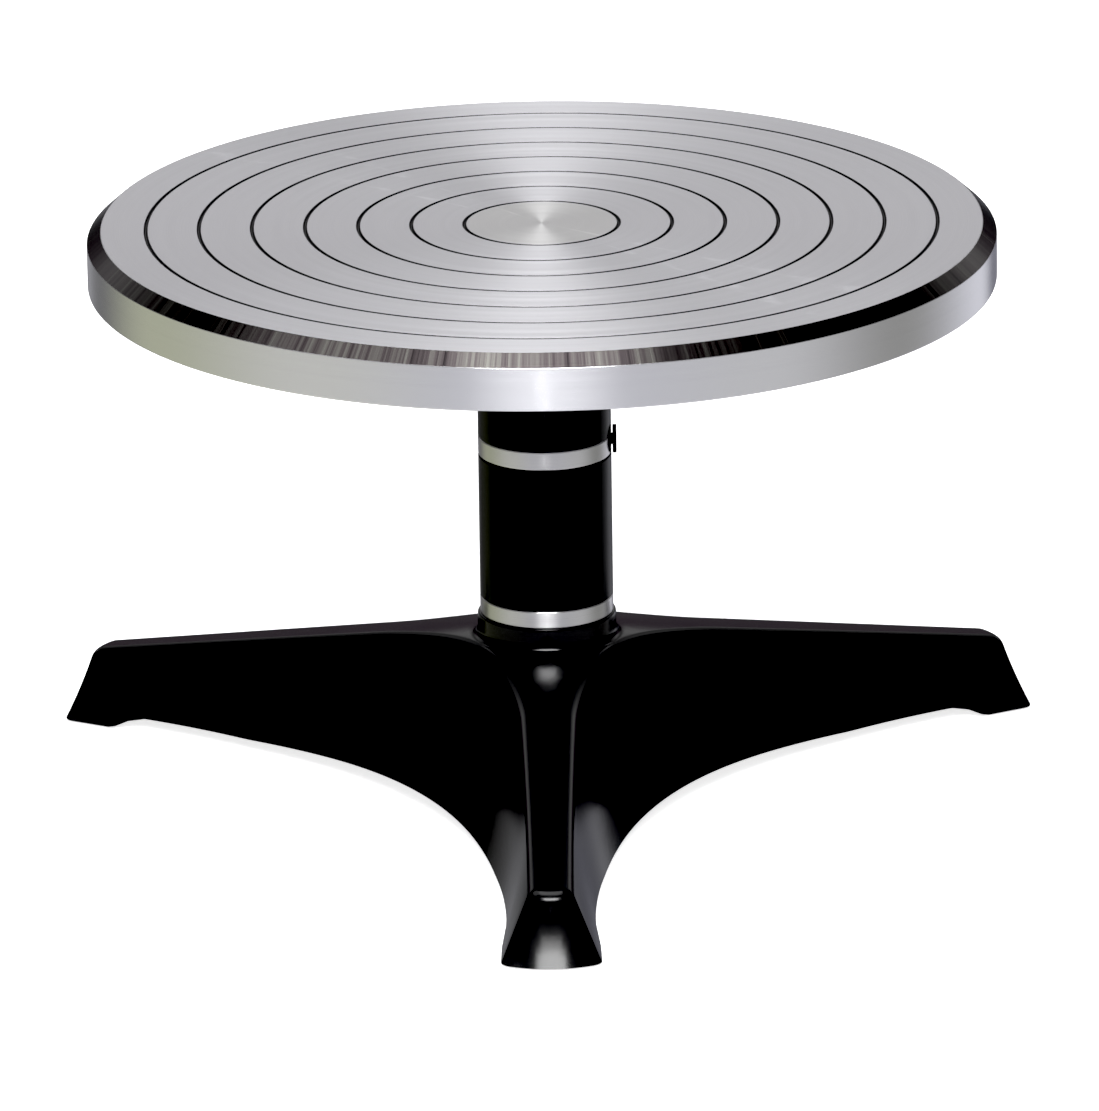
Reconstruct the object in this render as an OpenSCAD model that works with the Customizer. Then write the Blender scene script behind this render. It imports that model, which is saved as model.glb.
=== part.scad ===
// Bench pottery wheel: a grooved aluminium wheel head that turns on a fixed spindle,
// carried by a column on a cast tripod base.
// Millimetres, +Z up. The origin is on the wheel's axis, at the floor the feet stand on.
// The front arm of the base points along -Y, and the lock screw faces +X.

/* [Wheel head] */
// Diameter of the wheel head
head_d = 300; // [280:1:320]
// Height of the working face above the floor
face_z = 196.5; // [194:0.5:200]
// Height of the head's rim, from its lower edge to the working face
rim_h = 18.6; // [16:0.2:20]
// Thickness of the rim's wall
rim_wall = 7; // [5:0.5:10]
// Thickness of the head's plate
plate_t = 7; // [6:0.5:8]
// Width of the bevel round the working face, measured along the radius
bevel_w = 4.6; // [2:0.2:6]
// Depth of the bevel, measured down from the working face
bevel_h = 4.1; // [2:0.1:6]
// Number of concentric centring grooves
groove_count = 7; // [1:1:7]
// Radius of the innermost groove
groove_first_r = 25.5; // [20:0.5:30]
// Distance from one groove to the next
groove_pitch = 17.5; // [10:0.5:18]
// Width of a groove at the working face
groove_w = 1.3; // [0.6:0.1:2]
// Depth of a groove
groove_depth = 0.8; // [0.3:0.1:1.5]
// Number of stiffening ribs under the plate
rib_count = 6; // [3:1:12]
// Thickness of a rib
rib_t = 5; // [3:0.5:8]

/* [Column] */
// Outer diameter of the column, its sleeves and its two bright rings
column_d = 44.2; // [43:0.1:46]
// Wall of the two black sleeves
sleeve_wall = 2.1; // [1.5:0.1:2.4]
// Height of the lower edge of the upper ring above the floor
upper_ring_z = 117.7; // [117:0.1:119]
// Height of the upper ring
upper_ring_h = 6.2; // [5.5:0.1:7]
// Height of the lower ring
lower_ring_h = 5.7; // [4:0.1:8]
// Running gap between the turning housing and the fixed column under it
running_gap = 0.35; // [0.3:0.05:0.6]

/* [Base] */
// Height of the base's hub, on which the column stands
hub_z = 62.9; // [60:0.1:66]
// Radius of the hub's raised boss
hub_boss_r = 23; // [22.6:0.1:24]
// Distance from the axis to the tip of a foot, at the floor
foot_tip_r = 184; // [180:1:188]
// Distance from the axis to the end of an arm, at its top edge
arm_end_r = 175; // [172:0.5:178]
// Fall of the arm's top edge for each millimetre outwards
arm_slope = 0.206; // [0.18:0.002:0.22]
// Height of the arm's top edge, carried on to the wheel's axis
arm_apex_z = 59.9; // [58:0.1:61]
// Half the width of an arm's top, at its narrowest next to the hub
ridge_half = 8.6; // [7:0.1:10]
// Half the width of an arm's top at the foot
ridge_end_half = 6.4; // [5:0.1:8]
// Half the width of an arm at its lower edge
skirt_half = 15.8; // [15:0.1:18]
// Half the width of a foot at the floor
foot_half = 16.4; // [15:0.1:18]
// Distance from the axis to the base's side midway between two arms, carried down to the floor
waist_r = 55.4; // [54:0.2:58]
// Height of the skirt's lower edge above the floor, along the arms
skirt_gap = 5.2; // [4:0.2:7]
// Height of the skirt's lower edge above the floor, midway between two arms
waist_gap = 8.4; // [7:0.2:11]
// Wall thickness of the casting
cast_wall = 5; // [4:0.5:6]
// Distance from the axis to the middle of a foot pad
pad_place_r = 171; // [169:0.5:172]
// Radius of a foot pad
pad_r = 7.5; // [6:0.5:8]
// Height by which a foot pad stands proud of the foot
pad_proud = 0.8; // [0.6:0.1:1.5]

/* [Bearings] */
// Bore of each bearing
bearing_bore = 15; // [15:1:15]
// Outer diameter of each bearing
bearing_od = 35; // [35:1:35]
// Width of each bearing
bearing_w = 11; // [11:1:11]
// Height of the lower bearing's lower face above the floor
bearing_z = 127; // [126.5:0.5:128]
// Distance between the two bearings
bearing_span = 25; // [20:1:25]
// Balls in each bearing
ball_count = 8; // [6:1:8]

/* [Wheel lock] */
// Height of the lock screw's axis above the floor
lock_z = 121.8; // [121.2:0.1:122]
// Thread diameter of the lock screw
lock_d = 4; // [3:1:4]
// Diameter of the lock screw's disc head
lock_head_d = 9.5; // [8:0.5:11]
// Thickness of the lock screw's disc head
lock_head_t = 1.3; // [1:0.1:2]

/* [Hidden] */

$fn = 96;
eps = 0.01;

// Small clearances between pieces
fit_gap = 0.05;
press_gap = 0.02;

// Heights of the wheel head
head_r = head_d / 2;
rim_z = face_z - rim_h;
plate_z = face_z - plate_t;
boss_r = 46;
boss_h = 5.5;
boss_z = plate_z - boss_h;

// Column
column_r = column_d / 2;
core_r = column_r - sleeve_wall;
upper_ring_top = upper_ring_z + upper_ring_h;
lower_ring_top = hub_z + lower_ring_h;
sleeve_top = upper_ring_z - running_gap;

// Spindle, from its lower thread up
spindle_end_z = 17;
spindle_thread_top = 38;
spindle_thread_r = 8;
spindle_shank_r = 10;
spindle_collar_z = 112;
spindle_collar_h = 4.9;
spindle_collar_r = 15;
lock_journal_r = 12;
lock_journal_top = bearing_z - 2.1;
race_shoulder_r = 9.2;
spindle_journal_r = bearing_bore / 2;
spindle_stud_r = 6;
spindle_stud_top = 187;
thread_chamfer = 1;

// Bearings
ball_pitch_r = (bearing_bore + bearing_od) / 4;
ball_r = 2.9;
race_groove_r = 3.1;
race_land = 2.15;
race_chamfer = 0.5;
shield_t = 0.5;
shield_inset = 0.8;
shield_gap = 0.25;
shield_bite = 0.5;
cage_t = 1.2;
cage_h = 7.8;
pocket_r = 3.15;
upper_bearing_z = bearing_z + bearing_w + bearing_span;
race_stack_top = upper_bearing_z + bearing_w;

// Flange of the housing and its screws
flange_r = 40;
flange_h = 6;
flange_z = boss_z - flange_h;
housing_bore_r = 12.5;
circlip_t = 1.5;
circlip_depth = 0.9;
screw_count = 4;
screw_place_r = 31;
screw_r = 3;
screw_head_r = 5;
screw_head_h = 6;
screw_reach = 8;
screw_socket_r = 2.9;
screw_socket_h = 3;
nut_recess_r = 17;
nut_recess_top = 188.5;

// Nuts and washers
base_nut_r = 24 / sqrt(3);
base_nut_h = 13;
base_washer_r = 16;
base_washer_h = 3;
hub_under_z = 36;
hub_tube_r = 19;
top_washer_r = 10.5;
top_washer_h = 2;
top_nut_r = 19 / sqrt(3);
top_nut_h = 9.5;
nut_chamfer = 1;

// Wheel lock: the screw's own places along its axis, +X
lock_head_x = column_r + 0.4;
lock_tip_gap = 0.35;
pad_tip_x = lock_journal_r + lock_tip_gap;
pad_tip_r = 1.5;
pad_tip_t = 1.25;
pad_stem_r = 0.8;
pad_stem_h = 1.4;
screw_tip_x = pad_tip_x + pad_tip_t + 0.1;
slot_w = 1;
slot_depth = 0.5;

// The tripod: three arms, with the front one along -Y
arm_angles = [270, 30, 150];
ridge_waist_r = 26.5;
arm_bow_floor = 4.5;
arm_bow_top = 1.5;
edge_round = 2.5;
wall_steps = 4;
arm_steps = 15;
tip_steps = 3;
pad_pocket = 2;
pad_stem_place_r = 3;
pad_stem_top = 9;
foot_heel_r = 162;
notch_r = 153;
skirt_level_r = 108;
hollow_end_r = 151;

// ---- Shared shapes ----

// A tube standing on z
module tube(z, h, outer, inner) {
    translate([0, 0, z]) difference() {
        cylinder(h = h, r = outer);
        translate([0, 0, -1]) cylinder(h = h + 2, r = inner);
    }
}

// A hexagonal nut standing on z, chamfered at both ends
module hex_nut(z, h, corner_r, hole_r) {
    translate([0, 0, z]) difference() {
        intersection() {
            cylinder(h = h, r = corner_r, $fn = 6);
            rotate_extrude() polygon([
                [0, 0], [corner_r - nut_chamfer, 0], [corner_r, nut_chamfer * 0.6],
                [corner_r, h - nut_chamfer * 0.6], [corner_r - nut_chamfer, h], [0, h]
            ]);
        }
        translate([0, 0, -1]) cylinder(h = h + 2, r = hole_r);
    }
}

// ---- Tripod base ----

// Half the width of an arm at distance a along it. Next to the hub the side is an arc that
// runs on into the next arm's side, and passes the line midway between them at waist.
function arc_reach(waist, half) = (waist - half) / (1 - sin(60));
function side_half(a, waist, half, end_half, end_a) =
    let (reach = arc_reach(waist, half), arc_r = reach - waist, join_a = reach / 2)
    a < join_a
        ? reach * sin(60) - sqrt(pow(arc_r, 2) - pow(join_a - a, 2))
        : half + (end_half - half) * (a - join_a) / (end_a - join_a);

// Distances along an arm of one side's stations, closer together near the hub
function side_stations(start, end) =
    [for (i = [0 : arm_steps]) start + (end - start) * pow(i / arm_steps, 1.4)];

// One level of an arm as [along, across] points, from the gap on its right round its tip
function arm_outline(waist, half, end_half, end_a, bow) =
    let (
        sides = [for (a = side_stations(waist / 2, end_a - bow))
            [a, side_half(a, waist, half, end_half, end_a - bow)]],
        tip = [for (i = [1 - tip_steps : tip_steps - 1])
            [end_a - bow * pow(i / tip_steps, 2), end_half * i / tip_steps]]
    )
    concat(
        [for (p = sides) [p[0], -p[1]]],
        tip,
        [for (i = [arm_steps : -1 : 1]) sides[i]]
    );

// The three arms' outlines joined into one closed ring about the axis
function star_ring(outline) =
    [for (angle = arm_angles) for (p = outline)
        [p[0] * cos(angle) - p[1] * sin(angle), p[0] * sin(angle) + p[1] * cos(angle)]];

// An outline drawn in by d: sideways at the sides, and lengthways towards the tip
function drawn_in(outline, end_half, d) = [for (p = outline) [
    p[0] - d * min(1, p[0] / arm_end_r),
    p[1] - sign(p[1]) * d * min(1, abs(p[1]) / end_half)
]];

function roof_z(p, drop) = arm_apex_z - drop - arm_slope * norm([p[0], p[1]]);
function blend(p, q, t) = p + (q - p) * t;

// A solid between a flat lower ring at floor_z and an upper ring on the arms' sloping tops.
// edge is the size of the break along the top edge, and end_half is half the top's width at
// the arm's end.
module star_solid(floor_z, lower, upper, end_half, drop, edge) {
    low = star_ring(lower);
    high = star_ring(upper);
    ridge = star_ring(drawn_in(upper, end_half, edge));
    n = len(low);
    foot = [for (p = low) [p[0], p[1], floor_z]];
    crest = [for (p = high) [p[0], p[1], roof_z(p, drop)]];
    walls = [for (s = [0 : wall_steps]) for (i = [0 : n - 1])
        blend(foot[i], crest[i], s / wall_steps * (1 - edge / (crest[i][2] - floor_z)))];
    top = [for (p = ridge) [p[0], p[1], roof_z(p, drop)]];
    rings = wall_steps + 2;
    points = concat(walls, top, [[0, 0, floor_z], [0, 0, arm_apex_z - drop]]);
    polyhedron(points, concat(
        [for (s = [0 : rings - 2]) for (i = [0 : n - 1]) let (j = (i + 1) % n)
            each [[s * n + i, (s + 1) * n + i, (s + 1) * n + j],
                [s * n + i, (s + 1) * n + j, s * n + j]]],
        [for (i = [0 : n - 1]) [rings * n, i, (i + 1) % n]],
        [for (i = [0 : n - 1]) [rings * n + 1, (rings - 1) * n + (i + 1) % n, (rings - 1) * n + i]]
    ));
}

module base_casting() {
    color([0.03, 0.03, 0.035]) difference() {
        union() {
            difference() {
                star_solid(
                    pad_proud,
                    arm_outline(waist_r, skirt_half, foot_half, foot_tip_r, arm_bow_floor),
                    arm_outline(ridge_waist_r, ridge_half, ridge_end_half, arm_end_r, arm_bow_top),
                    ridge_end_half, 0, edge_round
                );
                star_solid(
                    -1,
                    arm_outline(waist_r - cast_wall, skirt_half - cast_wall,
                        foot_half - cast_wall, hollow_end_r, 1),
                    arm_outline(ridge_waist_r - cast_wall, ridge_half - cast_wall + 1,
                        ridge_end_half - cast_wall + 1, hollow_end_r - cast_wall, 0.5),
                    ridge_end_half - cast_wall + 1, cast_wall, 0.5
                );
            }
            // hub: the tube that holds the spindle, and the boss the column stands on
            translate([0, 0, hub_under_z]) cylinder(h = hub_z - hub_under_z - 4, r = hub_tube_r);
            rotate_extrude() polygon([
                [0, 48], [hub_boss_r + 1, 48], [hub_boss_r + 1, arm_apex_z - 5], [hub_boss_r, arm_apex_z - 3.5],
                [hub_boss_r, hub_z - 0.8], [hub_boss_r - 0.8, hub_z], [0, hub_z]
            ]);
        }
        // the space between the feet, under the skirt's lower edge
        rotate_extrude() polygon([
            [0, -2], [foot_heel_r, -2], [foot_heel_r, pad_proud], [notch_r, skirt_gap],
            [skirt_level_r, skirt_gap + 0.3], [waist_r - 4, waist_gap], [0, waist_gap]
        ]);
        translate([0, 0, hub_under_z - 1])
            cylinder(h = hub_z - hub_under_z + 2, r = spindle_shank_r + fit_gap);
        for (angle = arm_angles) rotate([0, 0, angle]) translate([pad_place_r, 0, 0]) {
            translate([0, 0, -1]) cylinder(h = 1 + pad_proud + pad_pocket, r = pad_r + fit_gap);
            cylinder(h = pad_stem_top + 1, r = pad_stem_place_r + fit_gap);
        }
    }
}

module foot_pad(angle) {
    color([0.07, 0.07, 0.07]) rotate([0, 0, angle]) translate([pad_place_r, 0, 0]) rotate_extrude()
        polygon([
            [0, 0], [pad_r - 0.6, 0], [pad_r, 0.6], [pad_r, pad_proud + pad_pocket],
            [pad_stem_place_r, pad_proud + pad_pocket], [pad_stem_place_r, pad_stem_top - 0.6],
            [pad_stem_place_r - 0.6, pad_stem_top], [0, pad_stem_top]
        ]);
}

module foot_pad_front() foot_pad(arm_angles[0]);
module foot_pad_right() foot_pad(arm_angles[1]);
module foot_pad_left() foot_pad(arm_angles[2]);

// ---- Spindle and what clamps it ----

module spindle() {
    color([0.62, 0.63, 0.65]) rotate_extrude() polygon([
        [0, spindle_end_z],
        [spindle_thread_r - thread_chamfer, spindle_end_z],
        [spindle_thread_r, spindle_end_z + thread_chamfer],
        [spindle_thread_r, spindle_thread_top],
        [spindle_shank_r, spindle_thread_top],
        [spindle_shank_r, spindle_collar_z],
        [spindle_collar_r, spindle_collar_z],
        [spindle_collar_r, spindle_collar_z + spindle_collar_h],
        [lock_journal_r, spindle_collar_z + spindle_collar_h],
        [lock_journal_r, lock_journal_top],
        [race_shoulder_r, lock_journal_top],
        [race_shoulder_r, bearing_z],
        [spindle_journal_r - press_gap, bearing_z],
        [spindle_journal_r - press_gap, race_stack_top - 1],
        [spindle_stud_r, race_stack_top - 1],
        [spindle_stud_r, spindle_stud_top - thread_chamfer],
        [spindle_stud_r - thread_chamfer, spindle_stud_top],
        [0, spindle_stud_top]
    ]);
}

module base_washer() {
    color([0.7, 0.71, 0.73])
        tube(hub_under_z - base_washer_h, base_washer_h, base_washer_r, spindle_thread_r + 0.4);
}

module base_nut() {
    color([0.66, 0.67, 0.7]) hex_nut(hub_under_z - base_washer_h - base_nut_h, base_nut_h,
        base_nut_r, spindle_thread_r + press_gap);
}

module top_washer() {
    color([0.7, 0.71, 0.73])
        tube(race_stack_top, top_washer_h, top_washer_r, spindle_stud_r + 0.3);
}

module top_locknut() {
    color([0.66, 0.67, 0.7])
        hex_nut(race_stack_top + top_washer_h, top_nut_h, top_nut_r, spindle_stud_r + press_gap);
}

// ---- Fixed column ----

module column_core() {
    color([0.82, 0.83, 0.84]) difference() {
        rotate_extrude() polygon([
            [0, hub_z], [column_r - 0.3, hub_z], [column_r, hub_z + 0.3],
            [column_r, lower_ring_top], [core_r, lower_ring_top],
            [core_r, spindle_collar_z], [0, spindle_collar_z]
        ]);
        translate([0, 0, hub_z - 1])
            cylinder(h = spindle_collar_z - hub_z + 2, r = spindle_shank_r + fit_gap);
    }
}

module column_sleeve() {
    color([0.04, 0.04, 0.045])
        tube(lower_ring_top, sleeve_top - lower_ring_top, column_r, core_r + fit_gap);
}

module felt_seal() {
    color([0.55, 0.53, 0.48])
        tube(spindle_collar_z, sleeve_top - spindle_collar_z, core_r - 0.1, spindle_collar_r + 0.2);
}

// ---- Bearings ----

// Inner race of a bearing whose lower face is at z
module inner_race(z) {
    land_r = ball_pitch_r - race_land;
    bore_r = bearing_bore / 2;
    color([0.75, 0.76, 0.78]) translate([0, 0, z]) rotate_extrude() difference() {
        polygon([
            [bore_r, race_chamfer], [bore_r + race_chamfer, 0], [land_r, 0], [land_r, bearing_w],
            [bore_r + race_chamfer, bearing_w], [bore_r, bearing_w - race_chamfer]
        ]);
        translate([ball_pitch_r, bearing_w / 2]) circle(r = race_groove_r);
    }
}

// Outer race, with a step at each side that holds a shield
module outer_race(z) {
    land_r = ball_pitch_r + race_land;
    rim_r = bearing_od / 2 - press_gap;
    step = shield_inset + shield_t;
    color([0.75, 0.76, 0.78]) translate([0, 0, z]) rotate_extrude() difference() {
        polygon([
            [land_r + shield_bite, 0], [rim_r - race_chamfer, 0], [rim_r, race_chamfer],
            [rim_r, bearing_w - race_chamfer], [rim_r - race_chamfer, bearing_w],
            [land_r + shield_bite, bearing_w], [land_r + shield_bite, bearing_w - step],
            [land_r, bearing_w - step], [land_r, step], [land_r + shield_bite, step]
        ]);
        translate([ball_pitch_r, bearing_w / 2]) circle(r = race_groove_r);
    }
}

module bearing_shields(z) {
    outer = ball_pitch_r + race_land + shield_bite - press_gap;
    inner = ball_pitch_r - race_land + shield_gap;
    color([0.8, 0.81, 0.82]) {
        tube(z + shield_inset, shield_t, outer, inner);
        tube(z + bearing_w - shield_inset - shield_t, shield_t, outer, inner);
    }
}

module balls(z) {
    color([0.85, 0.86, 0.88]) for (i = [0 : ball_count - 1]) rotate([0, 0, i * 360 / ball_count])
        translate([ball_pitch_r, 0, z + bearing_w / 2]) sphere(r = ball_r, $fn = 48);
}

module ball_cage(z) {
    color([0.72, 0.6, 0.32]) difference() {
        tube(z + (bearing_w - cage_h) / 2, cage_h, ball_pitch_r + cage_t / 2, ball_pitch_r - cage_t / 2);
        for (i = [0 : ball_count - 1]) rotate([0, 0, i * 360 / ball_count])
            translate([ball_pitch_r - cage_t, 0, z + bearing_w / 2]) rotate([0, 90, 0])
                cylinder(h = 2 * cage_t, r = pocket_r, $fn = 48);
    }
}

module lower_inner_race() inner_race(bearing_z);
module upper_inner_race() inner_race(upper_bearing_z);
module lower_outer_race() outer_race(bearing_z);
module upper_outer_race() outer_race(upper_bearing_z);
module lower_bearing_shields() bearing_shields(bearing_z);
module upper_bearing_shields() bearing_shields(upper_bearing_z);
module lower_balls() balls(bearing_z);
module upper_balls() balls(upper_bearing_z);
module lower_ball_cage() ball_cage(bearing_z);
module upper_ball_cage() ball_cage(upper_bearing_z);

module inner_spacer() {
    color([0.7, 0.71, 0.72])
        tube(bearing_z + bearing_w, bearing_span, race_shoulder_r, spindle_journal_r);
}

module outer_spacer() {
    outer = bearing_od / 2 - press_gap;
    color([0.7, 0.71, 0.72]) tube(bearing_z + bearing_w, bearing_span, outer, outer - 2);
}

// Internal retaining ring, split at the back
module bore_circlip() {
    outer = bearing_od / 2 + circlip_depth - fit_gap;
    color([0.2, 0.2, 0.22]) difference() {
        tube(race_stack_top, circlip_t - fit_gap, outer, outer - 3);
        translate([-3, 0, race_stack_top - 1]) cube([6, outer + 1, circlip_t + 2]);
    }
}

// ---- Turning wheel ----

module wheel_head() {
    face_r = head_r - bevel_w;
    rim_in = head_r - rim_wall;
    color([0.8, 0.8, 0.82]) difference() {
        union() {
            rotate_extrude($fn = 180) polygon([
                [0, face_z], [face_r, face_z], [head_r, face_z - bevel_h],
                [head_r, rim_z + 0.5], [head_r - 0.5, rim_z], [rim_in, rim_z],
                [rim_in, plate_z - 2], [rim_in - 2, plate_z],
                [boss_r + 2, plate_z], [boss_r, plate_z - 2], [boss_r, boss_z], [0, boss_z]
            ]);
            for (i = [0 : rib_count - 1]) rotate([0, 0, (i + 0.5) * 360 / rib_count])
                rotate([90, 0, 0]) translate([0, 0, -rib_t / 2]) linear_extrude(rib_t) polygon([
                    [boss_r - 2, plate_z + 1], [rim_in + 1, plate_z + 1],
                    [rim_in + 1, plate_z - 4], [boss_r - 2, plate_z - boss_h]
                ]);
        }
        for (i = [0 : groove_count - 1]) rotate_extrude($fn = 180)
            translate([groove_first_r + i * groove_pitch, face_z]) polygon([
                [-groove_w / 2, 0.2], [-groove_w / 2, 0], [0, -groove_depth], [groove_w / 2, 0],
                [groove_w / 2, 0.2]
            ]);
        translate([0, 0, boss_z - 1]) cylinder(h = nut_recess_top - boss_z + 1, r = nut_recess_r);
        for (i = [0 : screw_count - 1]) rotate([0, 0, (i + 0.5) * 360 / screw_count])
            translate([screw_place_r, 0, boss_z - 1])
                cylinder(h = screw_reach + 1.5, r = screw_r + fit_gap);
    }
}

module bearing_housing() {
    seat_r = bearing_od / 2;
    color([0.82, 0.83, 0.84]) difference() {
        rotate_extrude() polygon([
            [housing_bore_r, upper_ring_z], [column_r - 0.3, upper_ring_z],
            [column_r, upper_ring_z + 0.3], [column_r, upper_ring_top], [core_r, upper_ring_top],
            [core_r, flange_z], [flange_r, flange_z], [flange_r, boss_z],
            [seat_r, boss_z],
            [seat_r, race_stack_top + circlip_t], [seat_r + circlip_depth, race_stack_top + circlip_t],
            [seat_r + circlip_depth, race_stack_top], [seat_r, race_stack_top],
            [seat_r, bearing_z], [housing_bore_r, bearing_z]
        ]);
        translate([housing_bore_r - 1, 0, lock_z]) rotate([0, 90, 0])
            cylinder(h = column_r - housing_bore_r + 2, r = lock_d / 2 + fit_gap, $fn = 48);
        for (i = [0 : screw_count - 1]) rotate([0, 0, (i + 0.5) * 360 / screw_count])
            translate([screw_place_r, 0, flange_z - 1]) cylinder(h = flange_h + 2, r = screw_r + 0.3);
    }
}

module hub_sleeve() {
    color([0.04, 0.04, 0.045])
        tube(upper_ring_top, flange_z - upper_ring_top, column_r, core_r + fit_gap);
}

module flange_screws() {
    color([0.16, 0.16, 0.17]) for (i = [0 : screw_count - 1])
        rotate([0, 0, (i + 0.5) * 360 / screw_count]) translate([screw_place_r, 0, flange_z])
            difference() {
                union() {
                    cylinder(h = flange_h + screw_reach, r = screw_r, $fn = 48);
                    translate([0, 0, -screw_head_h]) cylinder(h = screw_head_h, r = screw_head_r, $fn = 48);
                }
                translate([0, 0, -screw_head_h - 1])
                    cylinder(h = screw_socket_h + 1, r = screw_socket_r, $fn = 6);
            }
}

// ---- Wheel lock ----

// Turns a shape built along +Z so that it lies along +X at the lock screw's height
module along_lock_axis() translate([0, 0, lock_z]) rotate([0, 90, 0]) children();

module lock_screw() {
    shank_r = lock_d / 2 - fit_gap;
    color([0.05, 0.05, 0.055]) along_lock_axis() difference() {
        union() {
            translate([0, 0, screw_tip_x])
                cylinder(h = lock_head_x - screw_tip_x + eps, r = shank_r, $fn = 48);
            translate([0, 0, lock_head_x]) rotate_extrude($fn = 64) polygon([
                [0, 0], [lock_head_d / 2, 0], [lock_head_d / 2, lock_head_t - 0.3],
                [lock_head_d / 2 - 0.3, lock_head_t], [0, lock_head_t]
            ]);
        }
        translate([0, 0, screw_tip_x - 1])
            cylinder(h = pad_stem_h + 1.2, r = pad_stem_r + fit_gap, $fn = 48);
        translate([-slot_w / 2, -lock_head_d, lock_head_x + lock_head_t - slot_depth])
            cube([slot_w, 2 * lock_head_d, 1]);
    }
}

module lock_pad() {
    color([0.78, 0.62, 0.28]) along_lock_axis() rotate_extrude($fn = 48) polygon([
        [0, pad_tip_x], [pad_tip_r, pad_tip_x], [pad_tip_r, pad_tip_x + pad_tip_t],
        [pad_stem_r, pad_tip_x + pad_tip_t], [pad_stem_r, pad_tip_x + pad_tip_t + pad_stem_h],
        [0, pad_tip_x + pad_tip_t + pad_stem_h]
    ]);
}

base_casting();
foot_pad_front();
foot_pad_right();
foot_pad_left();
spindle();
base_washer();
base_nut();
column_core();
column_sleeve();
felt_seal();
lower_inner_race();
upper_inner_race();
inner_spacer();
top_washer();
top_locknut();
wheel_head();
bearing_housing();
hub_sleeve();
flange_screws();
lower_outer_race();
upper_outer_race();
outer_spacer();
bore_circlip();
lower_bearing_shields();
upper_bearing_shields();
lower_ball_cage();
lower_balls();
upper_ball_cage();
upper_balls();
lock_screw();
lock_pad();
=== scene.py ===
"""A bench pottery wheel: a turned aluminium head on a black column and a gloss black tripod base.

Lengths of the part are written in millimetres in its own frame, and turned into metres as a mesh is made.
Materials and lights are in metres.
"""

import math

import bmesh
import bpy
from mathutils import Matrix, Vector


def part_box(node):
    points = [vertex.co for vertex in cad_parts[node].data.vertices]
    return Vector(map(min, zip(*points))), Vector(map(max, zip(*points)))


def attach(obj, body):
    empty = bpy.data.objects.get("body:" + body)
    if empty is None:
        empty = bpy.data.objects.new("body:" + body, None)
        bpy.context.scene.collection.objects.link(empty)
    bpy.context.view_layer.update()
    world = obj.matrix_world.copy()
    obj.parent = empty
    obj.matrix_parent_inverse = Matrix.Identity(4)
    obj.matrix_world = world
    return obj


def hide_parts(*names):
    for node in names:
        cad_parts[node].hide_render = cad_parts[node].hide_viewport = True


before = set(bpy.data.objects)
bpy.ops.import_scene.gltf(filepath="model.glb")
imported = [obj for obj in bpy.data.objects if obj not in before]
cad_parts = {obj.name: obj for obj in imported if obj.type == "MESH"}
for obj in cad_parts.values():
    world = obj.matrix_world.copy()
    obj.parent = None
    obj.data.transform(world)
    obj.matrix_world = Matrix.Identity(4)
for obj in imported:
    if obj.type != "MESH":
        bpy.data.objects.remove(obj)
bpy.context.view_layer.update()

MM = 0.001


def box_mm(node):
    """A CAD node's lowest and highest corner, in millimetres."""
    low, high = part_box(node)
    return low / MM, high / MM


# ---- Sizes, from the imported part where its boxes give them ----

FIT_GAP = 0.05

head_low, head_high = box_mm("wheel_head")
HEAD_R = head_high.x
FACE_Z = head_high.z
RIM_Z = head_low.z
housing_low, housing_high = box_mm("bearing_housing")
FLANGE_R = housing_high.x
BOSS_Z = housing_high.z
UPPER_RING_Z = housing_low.z
hub_sleeve_low, hub_sleeve_high = box_mm("hub_sleeve")
COLUMN_R = hub_sleeve_high.x
UPPER_RING_TOP = hub_sleeve_low.z
FLANGE_Z = hub_sleeve_high.z
core_low, core_high = box_mm("column_core")
HUB_Z = core_low.z
COLLAR_Z = core_high.z
sleeve_low, sleeve_high = box_mm("column_sleeve")
LOWER_RING_TOP = sleeve_low.z
SLEEVE_TOP = sleeve_high.z
RACE_R = box_mm("upper_outer_race")[1].x
BEARING_Z = box_mm("lower_outer_race")[0].z
LOCK_Z = (box_mm("lock_screw")[0].z + box_mm("lock_screw")[1].z) / 2

# Wheel head
BEVEL_W = 4.6
BEVEL_H = 4.1
RIM_WALL = 7.0
PLATE_Z = FACE_Z - 7.0
HEAD_BOSS_R = 46.0
NUT_RECESS_R = 17.0
NUT_RECESS_Z = 188.5
SCREW_HOLE_DEPTH = 8.5
GROOVE_COUNT = 7
GROOVE_FIRST_R = 25.5
GROOVE_PITCH = 17.5
GROOVE_W = 1.3
GROOVE_DEPTH = 0.8
GROOVE_LIP = 0.12
GROOVE_POINTS = ((-0.5, 0, GROOVE_LIP), (-0.12, 1, 0.1), (0.12, 1, 0.1), (0.5, 0, GROOVE_LIP))
RIB_COUNT = 6
RIB_T = 5.0
RIB_H_AT_BOSS = 5.5
RIB_H_AT_RIM = 4.0
RIB_ROUND = 1.2
HEAD_SEGMENTS = 288
FACE_EPS = 0.1

# Column
SLEEVE_WALL = 2.1
CORE_R = COLUMN_R - SLEEVE_WALL
SHANK_R = 10.0
SHANK_BORE_R = SHANK_R + FIT_GAP
HOUSING_BORE_R = 12.5
COLUMN_SEGMENTS = 160

# Spindle
SPINDLE_THREAD_R = 8.0
SPINDLE_THREAD_TOP = 38.0
SPINDLE_THREAD_PITCH = 2.0
COLLAR_R = 15.0
COLLAR_H = 4.9
LOCK_JOURNAL_R = 12.0
LOCK_JOURNAL_TOP = BEARING_Z - 2.1
RACE_SHOULDER_R = 9.2
JOURNAL_R = 7.48
JOURNAL_TOP = 173.0
STUD_R = 6.0
STUD_PITCH = 1.75

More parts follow.
